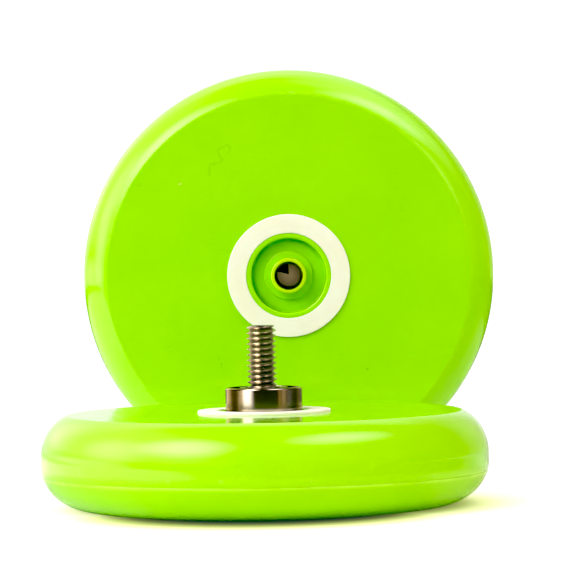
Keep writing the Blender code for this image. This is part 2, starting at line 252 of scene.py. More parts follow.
def helix(name, low, top, steps, segs, chamfer, major, sharp=40):
    """A threaded stud. steps are (share of pitch, radius). The thread's phase is tied to z 0, so a
    nut and a stud of the same pitch run true in each other. Both ends are drawn in to a cone."""
    count, cone_slope = len(steps), 1.05
    first = math.floor(low / PITCH) - 2
    rows = (math.ceil(top / PITCH) + 2 - first) * count
    bm = bmesh.new()

    def point(j, row):
        share, radius = steps[row % count]
        z = PITCH * (first + row // count + share + j / segs)
        z = min(max(z, low), top)
        radius = min(radius, major - chamfer + min(z - low, top - z) * cone_slope)
        angle = 2 * math.pi * j / segs
        return (radius * math.cos(angle) * MM, radius * math.sin(angle) * MM, z * MM)

    grid = [[bm.verts.new(point(j, row)) for row in range(rows + 1)] for j in range(segs)]
    for j in range(segs):
        shift = count if j == segs - 1 else 0
        here, there = grid[j], grid[(j + 1) % segs]
        for row in range(rows - shift):
            bm.faces.new((here[row], there[row + shift], there[row + shift + 1], here[row + 1]))
    # the rows clamped at each end fall together
    bmesh.ops.remove_doubles(bm, verts=bm.verts, dist=1.5e-6)
    for vert in [vert for vert in bm.verts if not vert.link_faces]:
        bm.verts.remove(vert)
    rims = [edge for edge in bm.edges if len(edge.link_faces) == 1]
    bmesh.ops.holes_fill(bm, edges=rims, sides=0)
    return tidy(bm, name, sharp)


# ================================================================ pieces of a half
def low_radius(z):
    """Radius of the outside below the band."""
    inward = (BAND_LOW_Z - z) / BAND_LOW_Z
    return BASE_R + (RIM_R - BASE_R) * math.sqrt(max(0.0, 1 - inward ** 2))


def rib_boxes():
    """Ribs under the inner face, from the boss out towards the rim."""
    x_in, x_out = BOSS_R - 1.0, INNER_R - 1.2
    low, top = BAND_TOP_Z + 0.6, FACE_UNDER_Z + 0.5
    middle = Vector(((x_in + x_out) / 2, 0, (low + top) / 2)) * MM
    bm = bmesh.new()
    for i in range(RIBS):
        place = (Matrix.Rotation(2 * math.pi * i / RIBS, 4, "Z") @ Matrix.Translation(middle)
                 @ Matrix.Diagonal(((x_out - x_in) * MM, RIB_T * MM, (top - low) * MM, 1)))
        bmesh.ops.create_cube(bm, size=1.0, matrix=place)
    return tidy(bm, "ribs", sharp=20)


def body():
    """Moulded body: centre post, bearing recess, collar, pad groove, face, rim, hollow, boss."""
    rim_start = math.degrees(math.asin((DEPTH - BAND_TOP_Z) / RIM_HALF_H))
    # (radius, height, fillet)
    corners = (
        [(POST_BORE_R, DEPTH + POST_UP, 0.06),
         (POST_R, DEPTH + POST_UP, 0.17),
         (POST_R, DEPTH - SEAT_DEPTH, 0.07),
         (SHOULDER_R, DEPTH - SEAT_DEPTH, 0.12),
         (SHOULDER_R - 0.03, DEPTH - RECESS_DEPTH, 0.12),
         (RECESS_R, DEPTH - RECESS_DEPTH, 0.16),
         (RECESS_R + 0.02, DEPTH + COLLAR_UP, 0.3),
         (COLLAR_R, DEPTH + COLLAR_UP, 0.08),
         (COLLAR_R, DEPTH - GROOVE_DEPTH, 0.05),
         (GROOVE_R, DEPTH - GROOVE_DEPTH, 0.05),
         (GROOVE_R, DEPTH, 0.07),
         (FACE_R, DEPTH, 1.9)]
        + arc(RIM_CENTRE_R, BAND_TOP_Z, RIM_HALF_W, RIM_HALF_H, rim_start, 0, 44)[3:]
        + [(RIM_R, BAND_LOW_Z)]
        + [(low_radius(z), z) for z in (5.3, 5.0, 4.75)]
        + [(low_radius(BODY_LOW_Z), BODY_LOW_Z, 0.015),
           (INNER_R, BODY_LOW_Z, 0.1)]
        + arc(RIM_CENTRE_R, BAND_TOP_Z, INNER_R - RIM_CENTRE_R, FACE_UNDER_Z - BAND_TOP_Z,
              0, 90, 10)
        + [(BOSS_R, FACE_UNDER_Z, 0.4),
           (BOSS_R, BOSS_LOW_Z, 0.25),
           (POST_BORE_R, BOSS_LOW_Z, 0.0)]
    )
    pocket = hexagon("pocket", NUT_FLATS + 0.1, DEPTH - 11.6, NUT_TOP_Z + 0.1)
    return cut(turned("body_blank", rounded(corners), 192),
               [("UNION", rib_boxes()), ("DIFFERENCE", pocket)], "body")


def side_cap():
    """Outer cap: a lip that stands inside the body, a curved side and a ringed outer face."""
    start = math.degrees(math.asin((BAND_LOW_Z - CAP_TOP_Z) / BAND_LOW_Z))
    side = arc(BASE_R, BAND_LOW_Z, RIM_R - BASE_R, BAND_LOW_Z, -start, -90, 44)[3:]
    proud, proud_h = 0.06, 0.9          # the side stands out by this at the seam, fading below it
    floor_r, floor_curve = BASE_R - 1.2, 3.2
    # (radius, height, fillet)
    corners = (
        [(0, CAP_WALL), (floor_r, CAP_WALL, 1.0)]
        + arc(floor_r, CAP_WALL + floor_curve, LIP_IN_R - BASE_R + 1.2, floor_curve, -75, 0, 10)
        + [(LIP_IN_R, LIP_TOP_Z, 0.3),
           (LIP_OUT_R, LIP_TOP_Z, 0.35),
           (LIP_OUT_R, CAP_TOP_Z, 0.12),
           (low_radius(CAP_TOP_Z) + proud, CAP_TOP_Z, 0.08)]
        + [(radius + proud * max(0.0, 1 - (CAP_TOP_Z - z) / proud_h), z) for radius, z in side]
        + [(17.7, 0, 0.12), (17.5, 0.3, 0.12), (17.1, 0.3, 0.12), (16.9, 0, 0.12), (0, 0)]
    )
    return turned("cap", rounded(corners, closed=False), 192, closed=False)


def pad():
    """Friction ring."""
    return turned("pad", rounded([(PAD_IN_R, PAD_LOW_Z, 0.05), (PAD_OUT_R, PAD_LOW_Z, 0.05),
                                  (PAD_OUT_R, PAD_LOW_Z + PAD_T, 0.13),
                                  (PAD_IN_R, PAD_LOW_Z + PAD_T, 0.12)]), 160)


def nut():
    """Hexagonal nut: corners turned down, internal thread, drill point at the blind end."""
    # (radius, height)
    outside = [(0, NUT_END_Z), (3.3, NUT_END_Z), (4.1, NUT_END_Z + 0.45),
               (4.1, NUT_TOP_Z - 0.45), (3.3, NUT_TOP_Z), (0, NUT_TOP_Z)]
    mouth = [(0, NUT_TOP_Z - 0.5), (1.58, NUT_TOP_Z - 0.5), (2.2, NUT_TOP_Z + 0.12),
             (2.2, NUT_TOP_Z + 1), (0, NUT_TOP_Z + 1)]
    drill = [(0, NUT_BORE_END_Z + 0.8), (1.62, NUT_BORE_END_Z + 0.8),
             (1.62, NUT_BORE_END_Z + 0.1), (0, NUT_BORE_END_Z - 0.9)]
    tap = helix("tap", NUT_BORE_END_Z, NUT_TOP_Z + 2,
                [(0.0, TAP_ROOT_R), (0.12, TAP_ROOT_R), (0.5, TAP_R), (0.56, TAP_R)],
                segs=40, chamfer=0.42, major=TAP_R)
    return cut(hexagon("nut_blank", NUT_FLATS, NUT_END_Z, NUT_TOP_Z),
               [("INTERSECT", turned("nut_turn", outside, 96, closed=False)),
                ("DIFFERENCE", tap),
                ("DIFFERENCE", turned("mouth", mouth, 96, closed=False)),
                ("DIFFERENCE", turned("drill", drill, 96, closed=False))], "nut", sharp=32)


def axle():
    """A long thread cut off with a chamfer and a shallow dish at each end, then leant over."""
    spare = 1.5
    # (share of pitch, radius)
    thread = [(0.0, THREAD_ROOT_R), (0.04, THREAD_ROOT_R + 0.03), (0.42, THREAD_R - 0.045),
              (0.45, THREAD_R - 0.01), (0.50, THREAD_R), (0.55, THREAD_R - 0.01),
              (0.58, THREAD_R - 0.045), (0.96, THREAD_ROOT_R + 0.03)]
    # (radius, height from the end)
    end = [(THREAD_R + 0.1, -0.40), (THREAD_R - 0.26, 0.0), (1.30, 0.0), (1.22, -0.02),
           (0.95, -0.15), (0.6, -0.21), (0, -0.22)]
    stock = [(radius, AXLE_TOP_Z + z) for radius, z in reversed(end)]
    stock += [(radius, AXLE_LOW_Z - z) for radius, z in end]
    stud = helix("thread", AXLE_LOW_Z - spare, AXLE_TOP_Z + spare, thread,
                 segs=56, chamfer=0.6, major=THREAD_R, sharp=24)
    mesh = cut(stud, [("INTERSECT", turned("stock", stock, 112, closed=False))], "axle", sharp=24)
    for vert in mesh.vertices:
        vert.co.x -= LEAN * (vert.co.z - LEAN_FROM_Z * MM)
    return mesh


# ================================================================ ball bearing
# Profiles are (radius, height from the bearing's middle, fillet).
def raised(points):
    """The profile lifted from the bearing's middle to its height in the half."""
    return [(point[0], point[1] + BRG_Z) + tuple(point[2:]) for point in points]


def outer_ring():
    race_r, race_centre_r, race_top, steps = 0.80, BALL_PITCH_R - 0.02, 0.50, 14
    heights = [race_top - 2 * race_top * i / steps for i in range(steps + 1)]
    raceway = [(race_centre_r + math.sqrt(race_r ** 2 - z ** 2), z) for z in heights]
    corners = (
        [(LAND_OUT_R, 0.56, 0.03)] + raceway + [(LAND_OUT_R, -0.56, 0.03)]
        + [(LAND_OUT_R, -1.42, 0.05), (4.635, -1.42, 0.02), (4.635, -1.84, 0.03),
           (4.52, -1.88, 0.03), (4.56, -BRG_HALF_W, 0.06), (BRG_OUT_R, -BRG_HALF_W, 0.36),
           (BRG_OUT_R, BRG_HALF_W, 0.36), (4.56, BRG_HALF_W, 0.06), (4.52, 1.88, 0.03),
           (4.635, 1.84, 0.03), (4.635, 1.42, 0.02), (LAND_OUT_R, 1.42, 0.05)]
    )
    return turned("outer_ring", rounded(raised(corners), steps=6), 160, sharp=34)


def inner_ring():
    race_depth, race_top, steps = 0.20, 0.42, 12
    raceway = [(LAND_IN_R - race_depth * math.cos(math.pi * i / steps - math.pi / 2),
                race_top - 2 * race_top * i / steps) for i in range(1, steps)]
    corners = (
        [(LAND_IN_R, 0.44, 0.03)] + raceway + [(LAND_IN_R, -0.44, 0.03)]
        + [(LAND_IN_R, -BRG_HALF_W, 0.07), (BRG_IN_R, -BRG_HALF_W, 0.16),
           (BRG_IN_R, BRG_HALF_W, 0.16), (LAND_IN_R, BRG_HALF_W, 0.07)]
    )
    return turned("inner_ring", rounded(raised(corners), steps=5), 128, sharp=34)


def shield():
    corners = [(3.24, 1.47, 0.03), (4.59, 1.47, 0.03), (4.59, 1.60, 0.03), (4.05, 1.60, 0.04),
               (3.92, 1.56, 0.04), (3.44, 1.56, 0.04), (3.36, 1.60, 0.03), (3.24, 1.60, 0.03)]
    return turned("shield", rounded(corners, steps=3), 128, sharp=34)


def snap_ring():
    corners = [(4.40, 1.64, 0.03), (4.59, 1.64, 0.03), (4.59, 1.80, 0.03), (4.40, 1.80, 0.03)]
    return turned("snap_ring", rounded(corners, steps=3), 96, sharp=34, sweep=SNAP_SWEEP)


def ball_angle(i):
    return 2 * math.pi * (i + 0.5) / BALLS


def cage():
    """A ring with a round pocket bored through it at each ball."""
    corners = [(3.40, -1.2, 0.05), (4.10, -1.2, 0.05), (4.10, 0.32, 0.05), (3.40, 0.32, 0.05)]
    blank = turned("cage_blank", rounded(raised(corners), steps=3), 128, sharp=34)
    bm = bmesh.new()
    for i in range(BALLS):
        place = (Matrix.Translation((0, 0, BRG_Z * MM)) @ Matrix.Rotation(ball_angle(i), 4, "Z")
                 @ Matrix.Translation((BALL_PITCH_R * MM, 0, 0))
                 @ Matrix.Rotation(math.pi / 2, 4, "Y"))
        bmesh.ops.create_cone(bm, cap_ends=True, segments=48, radius1=POCKET_R * MM,
                              radius2=POCKET_R * MM, depth=1.4 * MM, matrix=place)
    return cut(blank, [("DIFFERENCE", tidy(bm, "pockets"))], "cage", sharp=34)


def ball():
    """A subdivided cube pushed out to the sphere, so that its faces are even all over."""
    bm = bmesh.new()
    bmesh.ops.create_cube(bm, size=1.0)
    bmesh.ops.subdivide_edges(bm, edges=bm.edges[:], cuts=9, use_grid_fill=True)
    for vert in bm.verts:
        vert.co = vert.co.normalized() * BALL_R * MM
    return tidy(bm, "ball", sharp=60)


# ================================================================ shader building
class Signal:
    """An output socket; each arithmetic operator on it adds a math node."""

    def __init__(self, tree, socket):
        self.tree, self.socket = tree, socket

    def __add__(self, other):
        return self.tree.math("ADD", self, other)

    def __sub__(self, other):
        return self.tree.math("SUBTRACT", self, other)

    def __rsub__(self, other):
        return self.tree.math("SUBTRACT", other, self)

    def __mul__(self, other):
        return self.tree.math("MULTIPLY", self, other)

    def __truediv__(self, other):
        return self.tree.math("DIVIDE", self, other)

    def __abs__(self):
        return self.tree.math("ABSOLUTE", self)


class Nodes:
    """Short calls for building any node tree. Inputs are {key: Signal or value}."""

    def __init__(self, node_tree):
        self.node_tree = node_tree

    def put(self, node, key, value):
        socket = node.inputs[key]
        if isinstance(value, Signal):
            self.node_tree.links.new(value.socket, socket)
        elif socket.type == "RGBA":
            socket.default_value = (*value, 1.0)
        else:
            socket.default_value = value

    def node(self, kind, inputs=None, **properties):
        made = self.node_tree.nodes.new("ShaderNode" + kind)
        for key, value in properties.items():
            setattr(made, key, value)
        for key, value in (inputs or {}).items():
            self.put(made, key, value)
        return made

    def out(self, node, key=0):
        return Signal(self, node.outputs[key])

    def signal(self, kind, inputs=None, key=0, **properties):
        return self.out(self.node(kind, inputs, **properties), key)

    def math(self, operation, *values, clamp=False):
        return self.signal("Math", dict(enumerate(values)), operation=operation, use_clamp=clamp)

    def most(self, one, other):
        return self.math("MAXIMUM", one, other)

    def least(self, one, other):
        return self.math("MINIMUM", one, other)

    def split(self, vector):
        node = self.node("SeparateXYZ", {0: vector})
        return [Signal(self, socket) for socket in node.outputs]

    def vector(self, x, y, z):
        return self.signal("CombineXYZ", {0: x, 1: y, 2: z})

    def ramp(self, value, over, to=(0.0, 1.0)):
        """A smooth step from to[0] to to[1] as the value goes from over[0] to over[1]."""
        return self.signal("MapRange", {"Value": value, "From Min": over[0], "From Max": over[1],
                                        "To Min": to[0], "To Max": to[1]},
                           key="Result", interpolation_type="SMOOTHSTEP")

    def band(self, value, centre, width):
        """1 at the centre, falling off to 0 at width either side."""
        return self.ramp(abs(value - centre), over=(0.0, width), to=(1.0, 0.0))

    def mix(self, share, below, above, blend="MIX"):
        return self.signal("Mix", {0: share, 6: below, 7: above}, key=2,
                           data_type="RGBA", blend_type=blend)

    def coat(self, below, mask, strength, tint):
        """A tint laid over a colour where the mask is up."""
        return self.mix(mask * strength, below, tint)

    def tints(self, value, stops):
        """A colour ramp from (position, colour) stops."""
        node = self.node("ValToRGB", {0: value})
        elements = node.color_ramp.elements
        while len(elements) < len(stops):
            elements.new(0.5)
        for element, (position, tint) in zip(elements, stops):
            element.position, element.color = position, (*tint, 1.0)
        return self.out(node)


class Surface(Nodes):
    """A material's nodes, with its coordinates in mm. lean is the slope of its axis off Z."""

    INPUTS = {"colour": "Base Color", "roughness": "Roughness", "metallic": "Metallic",
              "normal": "Normal", "ior": "IOR", "sss": "Subsurface Weight",
              "sss_scale": "Subsurface Scale", "sss_radius": "Subsurface Radius",
              "specular": "Specular IOR Level", "glow": "Emission Color",
              "glow_strength": "Emission Strength"}

    def __init__(self, name, lean=0.0):
        self.material = bpy.data.materials.new(name)
        self.material.use_nodes = True
        super().__init__(self.material.node_tree)
        self.bsdf = self.node_tree.nodes["Principled BSDF"]
        self.lean = lean

    @cached_property
    def mm(self):
        metres = self.signal("TexCoord", key="Object")
        return self.signal("VectorMath", {0: metres, "Scale": 1 / MM}, operation="SCALE")

    @cached_property
    def xyz(self):
        return self.split(self.mm)

    @property
    def x(self):
        return self.xyz[0]

    @property
    def y(self):
        return self.xyz[1]

    @property
    def z(self):
        return self.xyz[2]

    @cached_property
    def radius(self):
        x = self.x + (self.z - LEAN_FROM_Z) * self.lean if self.lean else self.x
        return self.math("SQRT", x * x + self.y * self.y)

    @cached_property
    def angle(self):
        return self.math("ARCTAN2", self.y, self.x)

    def stretched(self, scale, turn=(0, 0, 0), shift=(0, 0, 0)):
        return self.signal("Mapping", {"Vector": self.mm, "Location": shift, "Rotation": turn,
                                       "Scale": scale})

    def noise(self, scale=1.0, detail=3.0, rough=0.5, distort=0.0, at=None):
        return self.signal("TexNoise", {"Vector": at or self.mm, "Scale": scale, "Detail": detail,
                                        "Roughness": rough, "Distortion": distort}, key="Fac")

    def specks(self, scale, size, patch_scale, patches):
        """Small round spots set at random, only where a broad noise is up."""
        distance = self.signal("TexVoronoi", {"Vector": self.mm, "Scale": scale},
                               key="Distance", feature="F1")
        spots = self.ramp(distance, over=(size * 0.6, size), to=(1.0, 0.0))
        return spots * self.ramp(self.noise(patch_scale, detail=1.0), over=patches)

    def line(self, points, width):
        """1 along a broken line of (x, y) points in mm, falling to 0 at width either side."""
        near = 99.0
        for (start_x, start_y), (end_x, end_y) in zip(points, points[1:]):
            run_x, run_y = end_x - start_x, end_y - start_y
            from_x, from_y = self.x - start_x, self.y - start_y
            along = self.math("DIVIDE", from_x * run_x + from_y * run_y,
                              run_x * run_x + run_y * run_y, clamp=True)
            off_x, off_y = from_x - along * run_x, from_y - along * run_y
            near = self.least(near, off_x * off_x + off_y * off_y)
        return self.ramp(self.math("SQRT", near), over=(0.0, width), to=(1.0, 0.0))

    def hairlines(self, turn, across, along, amount, shift):
        """Thin straight scratches in one direction, only here and there."""
        at = self.stretched((along, across, across * 0.35), (0, 0, turn), shift)
        lines = self.noise(detail=1.0, rough=0.4, distort=0.15, at=at)
        thin = 1.0 - self.ramp(abs(lines - 0.5), over=(0.0, 0.012))
        at = self.stretched((0.11, 0.11, 0.11), shift=(shift[1], shift[0], 3.0))
        patches = self.noise(detail=2.0, at=at)
        return thin * self.ramp(patches, over=(0.60 - amount, 0.68 - amount))

    def bump(self, height, distance, after=None):
        """Relief of the given distance in mm, over any earlier relief."""
        inputs = {"Distance": distance * MM, "Strength": 1.0, "Height": height}
        if after is not None:
            inputs["Normal"] = after
        return self.signal("Bump", inputs)

    def finish(self, **inputs):
        for name, value in inputs.items():
            self.put(self.bsdf, self.INPUTS[name], value)
        return self.material


def darker(tint, share):
    return tuple(part * share for part in tint)


# ================================================================ plastic and rubber
# (turn, frequency across, frequency along, amount, shift)
SCRATCHES = ((0.7, 5.5, 0.12, 0.02, (4, 9, 1)),
             (-0.5, 7.0, 0.16, 0.0, (15, 2, 6)),
             (1.9, 6.0, 0.2, -0.01, (1, 22, 9)))

# Marks on the rear half's inner face, in mm and radians.
# (x, y, turn, half length, half width, broken up by noise)
SCUFFS = ((-9.7, -12.4, 1.85, 1.5, 0.28, True),
          (10.8, -13.3, 0.0, 0.26, 0.22, False))
# (x, y) along a crooked scrape and along a pale chip
SCRAPE = ((-8.14, 17.35), (-7.85, 18.0), (-8.28, 18.44), (-8.73, 18.29), (-9.7, 17.74),
          (-9.43, 17.09), (-9.0, 16.44), (-9.33, 16.0), (-10.79, 15.75), (-10.84, 14.86),
          (-10.89, 14.22))
CHIP = ((-15.22, 13.07), (-14.88, 13.11))


def inner_face_marks(tree, colour):
    """Scuffs, a scrape and a chip, kept to the inner face."""
    def on_face():
        return tree.ramp(tree.z, over=(DEPTH - 0.1, DEPTH - 0.02))

    for mark_x, mark_y, turn, half_length, half_width, is_broken in SCUFFS:
        cos, sin = math.cos(turn), math.sin(turn)
        from_x, from_y = tree.x - mark_x, tree.y - mark_y
        along = (from_x * cos + from_y * sin) / half_length
        across = (from_y * cos - from_x * sin) / half_width
        spot = tree.ramp(along * along + across * across, over=(0.2, 1.0), to=(1.0, 0.0))
        broken = 1.0
        if is_broken:
            at = tree.stretched((1.6, 1.6, 1.6), (0, 0, turn), (mark_x, mark_y, 2.0))
            broken = tree.ramp(tree.noise(rough=0.6, at=at), over=(0.47, 0.60))
        colour = tree.coat(colour, spot * broken * on_face(), 0.30, tint=(0.08, 0.45, 0.01))
    face = on_face()
    uneven = tree.ramp(tree.noise(1.3, rough=0.6), over=(0.30, 0.55), to=(0.35, 1.0))
    scrape = tree.line(SCRAPE, width=0.30) * uneven
    colour = tree.coat(colour, scrape * face, 0.22, tint=(0.06, 0.50, 0.005))
    chip = tree.line(CHIP, width=0.20) * face
    return tree.coat(colour, chip, 0.75, tint=(0.62, 0.80, 0.22))


def painted_recess_shadow(tree):
    """Painted shadow in the corner of the bearing recess, stronger towards -X +Y."""
    radius, z = tree.radius, tree.z
    uneven = tree.ramp(tree.noise(0.6), over=(0.3, 0.6), to=(0.7, 1.0))
    towards = (tree.y * 0.64 - tree.x * 0.77) / radius
    return (tree.band(radius, RECESS_R - 0.05, width=0.7)
            * tree.ramp(z, over=(DEPTH - 0.5, DEPTH - 0.9))
            * tree.ramp(z, over=(DEPTH - 1.8, DEPTH - 1.3))
            * uneven
            * tree.ramp(towards, over=(-0.7, 0.5), to=(0.10, 1.0)))


def lime_plastic(name, tints, marked=False):
    """Glossy moulded plastic: faint flow and sink marks, orange peel, sparse hairlines, rubbed
    crease and standing ring; painted shadow in the bearing recess, painted highlights on the post
    top and along the seam, and painted shade where nearby metal mirrors the face."""
    tree = Surface(name)
    radius, z = tree.radius, tree.z
    scratch = reduce(tree.most, [tree.hairlines(*row) for row in SCRATCHES])
    dust = tree.specks(scale=0.42, size=0.034, patch_scale=0.2, patches=(0.52, 0.6))

    worn = tree.ramp(tree.noise(0.8, detail=4.0, rough=0.65), over=(0.47, 0.66))
    crease = tree.band(radius, FACE_R + 0.15, width=0.5) * worn
    stand = tree.ramp(z, over=(0.04, 0.35), to=(1.0, 0.0)) * worn
    chafed = tree.ramp(tree.noise(0.5, detail=5.0, rough=0.7), over=(0.55, 0.75))
    edge = tree.band(radius, RIM_R, width=0.12) * chafed
    rub = tree.most(crease, tree.most(stand, edge))

    # painted highlight: the top of the centre post is made lighter and yellower
    post = (tree.ramp(z, over=(DEPTH + 0.35, DEPTH + 0.85))
            * tree.ramp(radius, over=(2.9, 2.6)))
    # painted highlight: a lighter band along the seam between body and side cap
    seam_height = (tree.ramp(z, over=(SEAM_Z - 0.55, SEAM_Z - 0.1))
                   * tree.ramp(z, over=(SEAM_Z + 0.08, SEAM_Z + 0.03)))
    seam = seam_height * (tree.ramp(radius, over=(RIM_R - 1.2, RIM_R - 0.7))
                          * tree.ramp(tree.noise(0.25), over=(0.3, 0.6), to=(0.5, 1.0)))

    colour = tree.mix(tree.ramp(tree.noise(0.09), over=(0.3, 0.7)), *tints)
    # painted shadow in the corner of the bearing recess, deepest on one side
    colour = tree.coat(colour, painted_recess_shadow(tree), 0.75, tint=(0.005, 0.42, 0.001))
    if marked:
        colour = inner_face_marks(tree, colour)
    # painted shade: the face as mirrored by metal close by is darkened, the face being nearly
    # edge-on to it
    path = tree.node("LightPath")
    mirrored_shade = (tree.out(path, "Is Glossy Ray")
                * tree.ramp(tree.out(path, "Ray Length"), over=(0.014, 0.020), to=(1.0, 0.0)))
    for mask, strength, tint in ((rub, 0.22, (0.52, 0.95, 0.10)),
                                 (post, 0.75, (0.56, 0.78, 0.004)),
                                 (seam, 0.42, (0.60, 0.98, 0.08)),
                                 (scratch, 0.30, (0.16, 0.62, 0.02)),
                                 (dust, 0.55, (0.10, 0.42, 0.02)),
                                 (mirrored_shade, 0.82, (0.06, 0.055, 0.012))):
        colour = tree.coat(colour, mask, strength, tint)

    rough = tree.ramp(tree.noise(1.4, detail=4.0), over=(0.25, 0.75), to=(0.060, 0.105))
    rough = tree.math("ADD", rough + rub * 0.16, scratch * 0.18, clamp=True)
    sink = tree.bump(tree.noise(0.10, detail=2.0), distance=0.035)
    peel = tree.bump(tree.noise(2.6, detail=2.0), distance=0.0007, after=sink)
    normal = tree.bump(0.0 - (scratch + dust), distance=0.004, after=peel)
    return tree.finish(colour=colour, roughness=rough, normal=normal, ior=1.50)


def friction_pad():
    """Cast rubber ring: warm white, slightly see-through, fine matt skin with dust caught in it."""
    tree = Surface("friction_pad_rubber")
    grain = tree.noise(9.0, rough=0.6)
    dust = tree.specks(scale=1.3, size=0.06, patch_scale=0.5, patches=(0.5, 0.6))
    streaks = tree.noise(at=tree.vector(tree.radius * 5.0, tree.angle * 1.2, 0.0))
    rubbed = tree.band(tree.radius, 7.0, width=0.9) * tree.ramp(streaks, over=(0.5, 0.7))
    cloudy = tree.ramp(tree.noise(0.35, detail=4.0), over=(0.3, 0.7))
    colour = tree.mix(cloudy, (0.95, 0.89, 0.75), (0.97, 0.92, 0.81))
    colour = tree.coat(colour, rubbed, 0.16, tint=(0.74, 0.76, 0.60))
    colour = tree.coat(colour, dust, 0.5, tint=(0.45, 0.46, 0.36))
    rough = tree.ramp(grain, over=(0.3, 0.7), to=(0.46, 0.62)) + rubbed * -0.1
    normal = tree.bump(tree.noise(0.8), distance=0.01, after=tree.bump(grain, distance=0.004))
    return tree.finish(colour=colour, roughness=rough, normal=normal, sss=0.25,
                       sss_scale=0.6 * MM, sss_radius=(1.0, 1.0, 0.7), specular=0.2)


# ================================================================ metals
# Painted reflection: the colour of polished steel is tinted by what it would mirror sideways, dark
# as though black flags stood beside the object, warm beyond them.
# (bearing in degrees, 0 towards the camera and positive to its right; tint)
PAINTED_REFLECTION_TINTS = (
    (-180, (0.85, 0.70, 0.45)), (-150, (0.85, 0.70, 0.44)), (-127, (0.44, 0.32, 0.13)),
    (-110, (0.10, 0.065, 0.025)), (-97, (0.045, 0.03, 0.012)), (-86, (0.10, 0.075, 0.035)),
    (-72, (0.43, 0.36, 0.25)), (-60, (1.0, 0.97, 0.88)), (-40, (1.0, 1.0, 0.95)),
    (-25, (1.0, 0.95, 0.9)), (30, (1.0, 0.95, 0.9)), (52, (0.85, 0.82, 0.80)),
    (61, (0.62, 0.62, 0.70)), (72, (0.52, 0.50, 0.58)), (83, (0.62, 0.62, 0.64)),
    (95, (0.33, 0.32, 0.34)), (110, (0.17, 0.15, 0.10)), (127, (0.42, 0.36, 0.22)),
    (150, (0.7, 0.6, 0.4)), (180, (0.85, 0.70, 0.45)))
# Painted shade in one sector of the nut's drilled end: the sector's two angles and its edges'
# softness.
SHADED_SECTOR_FROM, SHADED_SECTOR_TO, SHADED_SECTOR_EDGE = math.radians(90), math.radians(166), 0.08


def machined(tree, light, dark, roughness, ring_density, depth, grime, root=None):
    """Colour, roughness and normal of machined metal: fine rings round the axis, faint smudges
    and, between the two radii in root, painted shade that fades outwards."""
    radius = tree.radius
    ring_place = tree.vector(radius * ring_density, tree.z * ring_density, tree.angle * 0.35)
    rings = tree.noise(detail=4.0, rough=0.6, at=ring_place)
    smudge = tree.noise(0.7, detail=4.0, rough=0.6)
    nick = tree.specks(scale=2.2, size=0.07, patch_scale=0.9, patches=(0.5, 0.58))
    dirt_and_root_shade = tree.ramp(smudge, over=(0.45, 0.75)) * grime
    # painted shade between the two radii in root, on top of the smudges
    if root:
        dirt_and_root_shade = tree.most(dirt_and_root_shade, tree.ramp(radius, over=root, to=(0.75, 0.0)))
    colour = tree.mix(tree.ramp(rings, over=(0.3, 0.7)), light, dark)
    colour = tree.mix(dirt_and_root_shade, colour, darker(dark, 0.45))
    colour = tree.coat(colour, nick, 0.5, tint=darker(dark, 0.3))
    rough = tree.ramp(rings, over=(0.25, 0.75), to=roughness) + dirt_and_root_shade * 0.16
    return colour, rough, tree.bump(rings - nick * 1.5, distance=depth)


def with_painted_reflection(tree, colour, strength):
    """The colour times a painted reflection of the mirrored direction, except where seen head-on.
    """
    mirrored = tree.split(tree.signal("TexCoord", key="Reflection"))
    bearing = tree.math("ARCTAN2", mirrored[0], 0.0 - mirrored[1])
    painted_tints = tree.tints(bearing / (2 * math.pi) + 0.5,
                       [(degrees / 360 + 0.5, tint) for degrees, tint in PAINTED_REFLECTION_TINTS])
    geometry = tree.node("NewGeometry")
    head_on = tree.signal("VectorMath", {0: tree.out(geometry, "Incoming"),
                                         1: tree.out(geometry, "Normal")},
                          key="Value", operation="DOT_PRODUCT")
    share = tree.ramp(head_on, over=(0.90, 0.95), to=(strength, 0.0))
    return tree.mix(share, colour, painted_tints, blend="MULTIPLY")


def turned_metal(name, lean=0.0, haze=None, painted_reflection_share=1.0, **finish):
    """Machined metal; haze is a painted glow, a faint constant light the metal gives off, and with
    it comes a painted reflection in the colour.
    """
    tree = Surface(name, lean)
    colour, rough, normal = machined(tree, **finish)
    if haze:
        colour = with_painted_reflection(tree, colour, painted_reflection_share)
        tree.finish(glow=haze, glow_strength=1.0)
    return tree.finish(colour=colour, roughness=rough, normal=normal, metallic=1.0)


def nut_metal():
    """Machined metal; the drilled end of the hole is rough, with painted shade in one sector of it.
    """
    tree = Surface("nut_metal_turned")
    colour, rough, normal = machined(
        tree, light=(0.62, 0.42, 0.24), dark=(0.46, 0.30, 0.16), roughness=(0.26, 0.42),
        ring_density=7.0, depth=0.002, grime=0.3)
    deep = (tree.ramp(tree.z, over=(NUT_BORE_END_Z + 0.25, NUT_BORE_END_Z + 0.15))
            * tree.ramp(tree.z, over=(NUT_BORE_END_Z - 1.1, NUT_BORE_END_Z - 1.0)))
    # painted shade: one sector of the drilled end is made near black
    sector = (tree.ramp(tree.angle, over=(SHADED_SECTOR_FROM, SHADED_SECTOR_FROM + SHADED_SECTOR_EDGE))
              * tree.ramp(tree.angle, over=(SHADED_SECTOR_TO, SHADED_SECTOR_TO - SHADED_SECTOR_EDGE)))
    drilled = tree.mix(deep, colour, (0.60, 0.44, 0.27))
    colour = tree.mix(deep * sector, drilled, (0.01, 0.01, 0.005))
    rough = tree.most(rough, deep * 0.62)
    return tree.finish(colour=colour, roughness=rough, normal=normal, metallic=1.0)


def polished_ball():
    tree = Surface("ball_steel_polished")
    lap = tree.noise(at=tree.stretched((2.0, 14.0, 14.0), turn=(0.4, 0.3, 0.9)))
    haze = tree.ramp(tree.noise(2.0, detail=4.0), over=(0.3, 0.7))
    return tree.finish(colour=tree.mix(haze, (0.80, 0.79, 0.76), (0.70, 0.69, 0.66)),
                       roughness=tree.ramp(lap, over=(0.3, 0.7), to=(0.05, 0.12)),
                       normal=tree.bump(lap, distance=0.0008), metallic=1.0)


